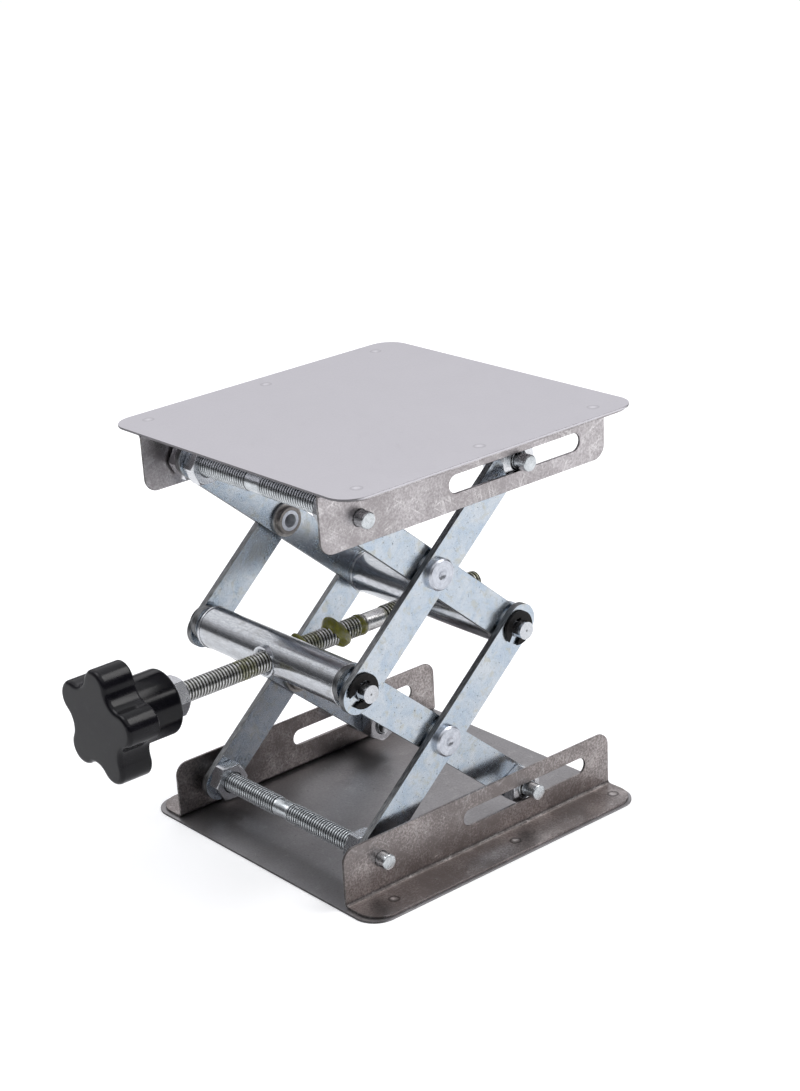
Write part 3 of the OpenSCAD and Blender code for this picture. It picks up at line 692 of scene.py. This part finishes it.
def grease_lumps():
    """Smeared grease rings on the screw."""
    rng = np.random.default_rng(7)
    angles = GREASE_ANGLES
    for name, centre, slant, half, thick, peak, peak_angle in GREASE_LUMPS:
        waves = rng.uniform(0, 2 * np.pi, 4)
        crown = grease_crown(peak, peak_angle, PEAK_SPREAD_DEG)
        middle_y = centre - slant * np.sin(angles - math.radians(20))
        blocks = []
        for t in np.linspace(-1, 1, GREASE_RINGS):
            lift = max(0.0, 1 - t * t) ** 0.5
            wobble = (1 + 0.14 * np.sin(2 * angles + waves[0] + 1.5 * t)
                      + 0.10 * np.sin(3 * angles + waves[1] - 2.0 * t)
                      + 0.06 * np.sin(7 * angles + waves[2] + 4.0 * t))
            spike = crown * math.exp(-(t + 0.1) ** 2 / 0.2)
            radii = GREASE_ROOT_R + lift * (GREASE_BASE + thick * wobble + spike)
            blocks.append(round_screw(middle_y + half * t, radii))
        ends = np.array([[0.0, centre - half, 0.0], [0.0, centre + half, 0.0]])
        vertices = np.concatenate(blocks + [ends]) + np.array([SCREW.x / MM, 0.0, SCREW.z / MM])
        faces = flipped(ring_faces(GREASE_RINGS, GREASE_AROUND))
        mesh_piece(name, vertices, faces, GREASE, "drive_screw", sharp_deg=180.0)


COLLAR_FRONT_Y = -30.45
COLLAR_LENGTH = 1.5
COLLAR_INNER_R = 3.04
COLLAR_STEPS = 12
COLLAR_HEIGHT = 0.45
COLLAR_WAVE = 0.15
COLLAR_CROWN = 0.85
COLLAR_CROWN_AT_DEG = 100
COLLAR_SPREAD_DEG = 42.0


def closed_loop_faces(rings, around):
    """Quads between rings of vertices, with the last ring joined to the first."""
    faces = []
    for i in range(rings):
        k = (i + 1) % rings
        for j in range(around):
            m = (j + 1) % around
            faces.append((i * around + j, k * around + j, k * around + m, i * around + m))
    return faces


def grease_collar():
    """Grease scraped off against the front crossbar's rear side, clear of the screw."""
    crown = grease_crown(COLLAR_CROWN, COLLAR_CROWN_AT_DEG, COLLAR_SPREAD_DEG)
    height = COLLAR_HEIGHT + COLLAR_WAVE * np.sin(3 * GREASE_ANGLES + 0.7) + crown
    length = COLLAR_LENGTH * (0.75 + 0.25 * np.sin(2 * GREASE_ANGLES + 1.1))
    blocks = []
    for step in range(COLLAR_STEPS + 1):
        turn = math.pi * step / COLLAR_STEPS
        radii = COLLAR_INNER_R + height * math.sin(turn) ** 0.7
        blocks.append(round_screw(COLLAR_FRONT_Y + length * (1 - math.cos(turn)) / 2, radii))
    for step in range(1, COLLAR_STEPS):
        y = COLLAR_FRONT_Y + length * (1 - step / COLLAR_STEPS)
        blocks.append(round_screw(y, COLLAR_INNER_R))
    vertices = np.concatenate(blocks) + np.array([SCREW.x / MM, 0.0, SCREW.z / MM])
    faces = closed_loop_faces(len(blocks), GREASE_AROUND)
    mesh_piece("grease_collar", vertices, faces, GREASE, "front_crossbar",
               sharp_deg=180.0)


# ---------------------------------------------------------------- knob

KNOB_R = 16.2
LOBE_R = 4.8
HOLLOW_R = 5.0
LOBES = 5
LOBE_PHASE = 155.0
HUB_R = 9.1
HUB_LENGTH = 12.2
FRONT_EDGE = 1.3
BACK_EDGE = 0.7
HUB_EDGE = 1.1
HUB_ROOT = 0.4
BORE_R = 3.0
BORE_EDGE = 0.4
BORE_EDGE_DEPTH = 0.5
BORE_DEPTH = 9.8
HUB_FACE_R = 5.2


def knob_outline(per_arc=12):
    """Points and outward normals round the lobes, starting at the first lobe's tip."""
    step = 2 * math.pi / LOBES
    lobe_at = KNOB_R - LOBE_R
    side = lobe_at * math.sin(step / 2)
    hollow_at = lobe_at * math.cos(step / 2) + math.sqrt((LOBE_R + HOLLOW_R) ** 2 - side ** 2)
    lobe_end = math.atan2(hollow_at * math.sin(step / 2), hollow_at * math.cos(step / 2) - lobe_at)
    hollow_half = math.atan2(side, hollow_at - lobe_at * math.cos(step / 2))
    points, normals = [], []
    for i in range(LOBES):
        turn = math.radians(LOBE_PHASE) + i * step
        for a in np.linspace(-lobe_end, lobe_end, per_arc, endpoint=False):
            direction = np.array([math.cos(turn + a), math.sin(turn + a)])
            centre = lobe_at * np.array([math.cos(turn), math.sin(turn)])
            points.append(centre + LOBE_R * direction)
            normals.append(direction)
        hollow = turn + step / 2
        centre = hollow_at * np.array([math.cos(hollow), math.sin(hollow)])
        first, last = math.pi + hollow_half, math.pi - hollow_half
        for a in np.linspace(first, last, per_arc, endpoint=False):
            direction = np.array([math.cos(hollow + a), math.sin(hollow + a)])
            points.append(centre + HOLLOW_R * direction)
            normals.append(-direction)
    return np.array(points), np.array(normals)


def quarter_turn(step_deg):
    """Angles from 0 to a right angle."""
    return [math.radians(degrees) for degrees in range(0, 91, step_deg)]


def lobe_rings(points, normals, hub_front):
    """Rings (y, points) of the lobed head, from the middle of its front to the hub."""
    rings = []
    for share in (0.25, 0.5, 0.75, 0.9):
        rings.append((KNOB_FRONT, (points - normals * FRONT_EDGE) * share))
    for angle in quarter_turn(15):
        y = KNOB_FRONT + FRONT_EDGE * (1 - math.cos(angle))
        rings.append((y, points - normals * (FRONT_EDGE * (1 - math.sin(angle)))))
    for angle in quarter_turn(18):
        y = hub_front - BACK_EDGE * (1 - math.sin(angle))
        rings.append((y, points - normals * (BACK_EDGE * (1 - math.cos(angle)))))
    return rings


def hub_rings(circle, hub_front):
    """Rings (y, points) of the hub, from its root to the bottom of its bore."""
    rings = [(hub_front, circle * (HUB_R + HUB_ROOT)),
             (hub_front + 0.3 * HUB_ROOT, circle * (HUB_R + 0.25 * HUB_ROOT)),
             (hub_front + HUB_ROOT, circle * HUB_R)]
    for angle in quarter_turn(15):
        rings.append((KNOB_BACK - HUB_EDGE * (1 - math.sin(angle)),
                      circle * (HUB_R - HUB_EDGE * (1 - math.cos(angle)))))
    rings.append((KNOB_BACK, circle * HUB_FACE_R))
    rings.append((KNOB_BACK, circle * (BORE_R + BORE_EDGE)))
    rings.append((KNOB_BACK - BORE_EDGE_DEPTH, circle * BORE_R))
    rings.append((KNOB_BACK - BORE_DEPTH, circle * BORE_R))
    return rings


def knob():
    """Five-lobed hand knob with a round hub and a blind bore."""
    points, normals = knob_outline()
    bearing = np.arctan2(points[:, 1], points[:, 0])
    circle = np.stack([np.cos(bearing), np.sin(bearing)], axis=1)
    hub_front = KNOB_BACK - HUB_LENGTH
    rings = lobe_rings(points, normals, hub_front) + hub_rings(circle, hub_front)
    around = len(points)
    vertices = [np.stack([ring[:, 0], np.full(around, y), ring[:, 1]], axis=1)
                for y, ring in rings]
    vertices.append(np.array([[0.0, KNOB_FRONT, 0.0], [0.0, KNOB_BACK - BORE_DEPTH, 0.0]]))
    placed = np.concatenate(vertices) + np.array([0.0, 0.0, SCREW.z / MM])
    faces = flipped(ring_faces(len(rings), around))
    piece = mesh_piece("star_knob", placed, faces, KNOB_BLACK, "drive_screw")
    smooth_flats(piece)
    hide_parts("knob")


# ---------------------------------------------------------------- CAD nodes

def smooth_flats(piece):
    """Keeps large flat faces flat while rounded edges shade smoothly."""
    weighted = piece.modifiers.new("flat_faces", "WEIGHTED_NORMAL")
    weighted.keep_sharp = True


WELD_GAP = 0.002
FLAT_DEG = 0.4
EDGE_DEG = 38.0
EDGE_SEGMENTS = 2
MESH_LEFTOVERS = ("custom_normal", "sharp_edge", "sharp_face")


def dress(node, material, edge_mm):
    """Gives a CAD node its material and small rounded edges."""
    piece = NODES[node]
    mesh = piece.data
    for attribute in MESH_LEFTOVERS:
        if attribute in mesh.attributes:
            mesh.attributes.remove(mesh.attributes[attribute])
    mesh.polygons.foreach_set("use_smooth", [True] * len(mesh.polygons))
    mesh.materials.clear()
    mesh.materials.append(material)
    weld = piece.modifiers.new("weld", "WELD")
    weld.merge_threshold = WELD_GAP * MM
    flat = piece.modifiers.new("merge_flats", "DECIMATE")
    flat.decimate_type = "DISSOLVE"
    flat.angle_limit = math.radians(FLAT_DEG)
    bevel = piece.modifiers.new("edges", "BEVEL")
    bevel.width = edge_mm * MM
    bevel.segments = EDGE_SEGMENTS
    bevel.limit_method = "ANGLE"
    bevel.angle_limit = math.radians(EDGE_DEG)
    bevel.use_clamp_overlap = True
    smooth_flats(piece)


LOOKS = [
    # words in a node's name, material, rounding of its edges in mm: the first match counts
    ("top_plate", TOP_SHEET, 0.07),
    ("base_plate", BASE_SHEET_PAINTED_SHADE, 0.07),
    ("top_rail_", TOP_RAIL, 0.16),
    ("base_rail_", BASE_RAIL_PAINTED_SHADE, 0.16),
    ("_arm_", ARM_ZINC, 0.16),
    ("_clips", CLIP_BLACK, 0.1),
    ("_washers", WASHER_ZINC, 0.06),
    ("_crossbar", BAR_ZINC, 0.14),
    ("_rivets", RIVET_ZINC, 0.14),
    ("_collars", COLLAR_ZINC, 0.16),
    ("nut", NUT_ZINC, 0.1),
]


def dress_all():
    """Dresses each CAD node that has a look of its own. The others are replaced whole."""
    for node in NODES:
        for words, material, edge_mm in LOOKS:
            if words in node:
                dress(node, material, edge_mm)
                break


# ---------------------------------------------------------------- camera, light and floor

CAMERA_AZIMUTH = 53.583
CAMERA_ELEVATION = 25.825
CAMERA_ROLL = 4.808
CAMERA_DISTANCE = 0.614579
CAMERA_PAN = (-0.028617, -0.037576)
CAMERA_TARGET = Vector((0.0, 0.0, 0.059))
CAMERA_LENS = 72.244  # mm
CAMERA_SHIFT = (0.1100, 0.1881)
SENSOR_SIZE = 36.0  # mm, laid along the image's long side
CAMERA_REACH = 20.0


def camera():
    """Camera above and to the right of the jack's front, rolled by a few degrees."""
    azimuth, elevation = math.radians(CAMERA_AZIMUTH), math.radians(CAMERA_ELEVATION)
    back = Vector((math.sin(azimuth) * math.cos(elevation),
                   -math.cos(azimuth) * math.cos(elevation), math.sin(elevation)))
    right = Vector((math.cos(azimuth), math.sin(azimuth), 0.0))
    up = back.cross(right)
    roll = math.radians(CAMERA_ROLL)
    right, up = (right * math.cos(roll) - up * math.sin(roll),
                 right * math.sin(roll) + up * math.cos(roll))
    data = bpy.data.cameras.new("camera")
    data.lens = CAMERA_LENS
    data.sensor_width = SENSOR_SIZE
    data.shift_x, data.shift_y = CAMERA_SHIFT
    data.clip_end = CAMERA_REACH
    view = bpy.data.objects.new("camera", data)
    place = CAMERA_TARGET + right * CAMERA_PAN[0] + up * CAMERA_PAN[1] + back * CAMERA_DISTANCE
    turn = Matrix((right, up, back)).transposed()
    view.matrix_world = Matrix.Translation(place) @ turn.to_4x4()
    bpy.context.scene.collection.objects.link(view)
    bpy.context.scene.camera = view


FLOOR_RADIUS = 14.0
FLOOR_RINGS = 8
FLOOR_AROUND = 64
FLOOR_GAP = 0.02


def floor():
    """A wide round sheet of studio paper under the jack, with finer rings near its middle."""
    vertices = [(0.0, 0.0, 0.0)]
    for i in range(1, FLOOR_RINGS + 1):
        radius = FLOOR_RADIUS * (i / FLOOR_RINGS) ** 3
        for j in range(FLOOR_AROUND):
            angle = 2 * math.pi * j / FLOOR_AROUND
            vertices.append((radius * math.cos(angle), radius * math.sin(angle), 0.0))
    faces = [(0, 1 + j, 1 + (j + 1) % FLOOR_AROUND) for j in range(FLOOR_AROUND)]
    for i in range(FLOOR_RINGS - 1):
        for j in range(FLOOR_AROUND):
            k = (j + 1) % FLOOR_AROUND
            a, b = 1 + i * FLOOR_AROUND, 1 + (i + 1) * FLOOR_AROUND
            faces.append((a + j, b + j, b + k, a + k))
    mesh = bpy.data.meshes.new("floor")
    mesh.from_pydata(vertices, [], faces)
    mesh.materials.append(pale_floor("studio_paper"))
    sheet = bpy.data.objects.new("floor", mesh)
    sheet.location.z = CAD_BOUNDS[0][2] - FLOOR_GAP * MM
    bpy.context.scene.collection.objects.link(sheet)


LIGHT_TARGET = Vector((0.0, 0.0, 0.05))
LIGHTS = [
    # name, place and side in m, power in W, colour
    ("key", (0.55, 0.75, 1.15), 0.8, 9.0, (1.0, 0.99, 0.98)),
    ("fill", (-0.4, -0.5, 1.3), 0.7, 4.0, (0.97, 0.98, 1.0)),
]


def area_light(name, place, side, power, color):
    """A square soft light that faces the jack."""
    data = bpy.data.lights.new(name, "AREA")
    data.shape = "RECTANGLE"
    data.size = side
    data.size_y = side
    data.energy = power
    data.color = color
    lamp = bpy.data.objects.new(name, data)
    lamp.location = place
    lamp.rotation_euler = (LIGHT_TARGET - Vector(place)).to_track_quat("-Z", "Y").to_euler()
    bpy.context.scene.collection.objects.link(lamp)


WORLD_PLAIN = [(0.0, (0.30, 0.29, 0.29)), (0.04, (0.07, 0.07, 0.075)), (0.42, (0.10, 0.10, 0.105)),
               (0.62, (0.55, 0.55, 0.57)), (0.80, (1.05, 1.06, 1.08)), (1.0, (1.15, 1.16, 1.18))]
WORLD_BRIGHT = [(0.0, (0.30, 0.29, 0.29)), (0.04, (0.10, 0.10, 0.105)), (0.20, (0.22, 0.22, 0.23)),
                (0.38, (0.92, 0.91, 0.94)), (0.70, (1.05, 1.06, 1.08)), (1.0, (1.15, 1.16, 1.18))]
BRIGHT_SIDE = (-0.805, 0.594, 0.0)
BRIGHT_FROM, BRIGHT_FULL = 0.10, 0.62  # cosines of the angle to that side
WHITE = (1.0, 1.0, 1.0, 1.0)


def sky_ramp(tree, height, stops):
    """Colour by direction, from the horizon (0) to straight up (1)."""
    ramp = tree.nodes.new("ShaderNodeValToRGB")
    tree.links.new(height, ramp.inputs["Fac"])
    elements = ramp.color_ramp.elements
    while len(elements) < len(stops):
        elements.new(0.5)
    for element, (at, color) in zip(elements, stops):
        element.position = at
        element.color = (*color, 1.0)
    return ramp.outputs["Color"]


def color_mix(tree, factor, first, second):
    """Mixes two colours in the world's node tree."""
    node = tree.nodes.new("ShaderNodeMix")
    node.data_type = "RGBA"
    tree.links.new(factor, node.inputs["Factor"])
    tree.links.new(first, node.inputs[MIX_FIRST])
    if isinstance(second, tuple):
        node.inputs[MIX_SECOND].default_value = second
    else:
        tree.links.new(second, node.inputs[MIX_SECOND])
    return node.outputs[MIX_RESULT]


def bright_share(tree, direction):
    """How far a direction points to the bright side, from 0 to 1."""
    side = tree.nodes.new("ShaderNodeVectorMath")
    side.operation = "DOT_PRODUCT"
    side.inputs[1].default_value = BRIGHT_SIDE
    tree.links.new(direction, side.inputs[0])
    share = tree.nodes.new("ShaderNodeMapRange")
    share.interpolation_type = "SMOOTHSTEP"
    share.inputs["From Min"].default_value = BRIGHT_FROM
    share.inputs["From Max"].default_value = BRIGHT_FULL
    tree.links.new(side.outputs["Value"], share.inputs["Value"])
    return share.outputs["Result"]


def studio():
    """A tent, bright overhead and behind on the left, dark near the horizon elsewhere."""
    world = bpy.data.worlds.new("studio")
    bpy.context.scene.world = world
    world.use_nodes = True
    tree = world.node_tree
    direction = tree.nodes.new("ShaderNodeTexCoord").outputs["Generated"]
    split = tree.nodes.new("ShaderNodeSeparateXYZ")
    tree.links.new(direction, split.inputs[0])
    tent = color_mix(tree, bright_share(tree, direction),
                     sky_ramp(tree, split.outputs["Z"], WORLD_PLAIN),
                     sky_ramp(tree, split.outputs["Z"], WORLD_BRIGHT))
    seen = tree.nodes.new("ShaderNodeLightPath").outputs["Is Camera Ray"]
    backdrop = color_mix(tree, seen, tent, WHITE)
    tree.links.new(backdrop, tree.nodes["Background"].inputs["Color"])
    for light in LIGHTS:
        area_light(*light)
    bpy.context.scene.view_settings.view_transform = "Standard"


# ---------------------------------------------------------------- build

dress_all()
pivot_rod("base_pivot_rod_threaded", "base_pivot_rod", BASE_ROD, "base")
pivot_rod("top_pivot_rod_threaded", "top_pivot_rod", TOP_ROD, "platform")
slide_pins("base_slide_pins_threaded", "base_slide_pins", BASE_SLIDE, "lower_inner_arms")
slide_pins("top_slide_pins_threaded", "top_slide_pins", TOP_SLIDE, "upper_outer_arms")
drive_screw()
grease_lumps()
grease_collar()
knob()
camera()
floor()
studio()
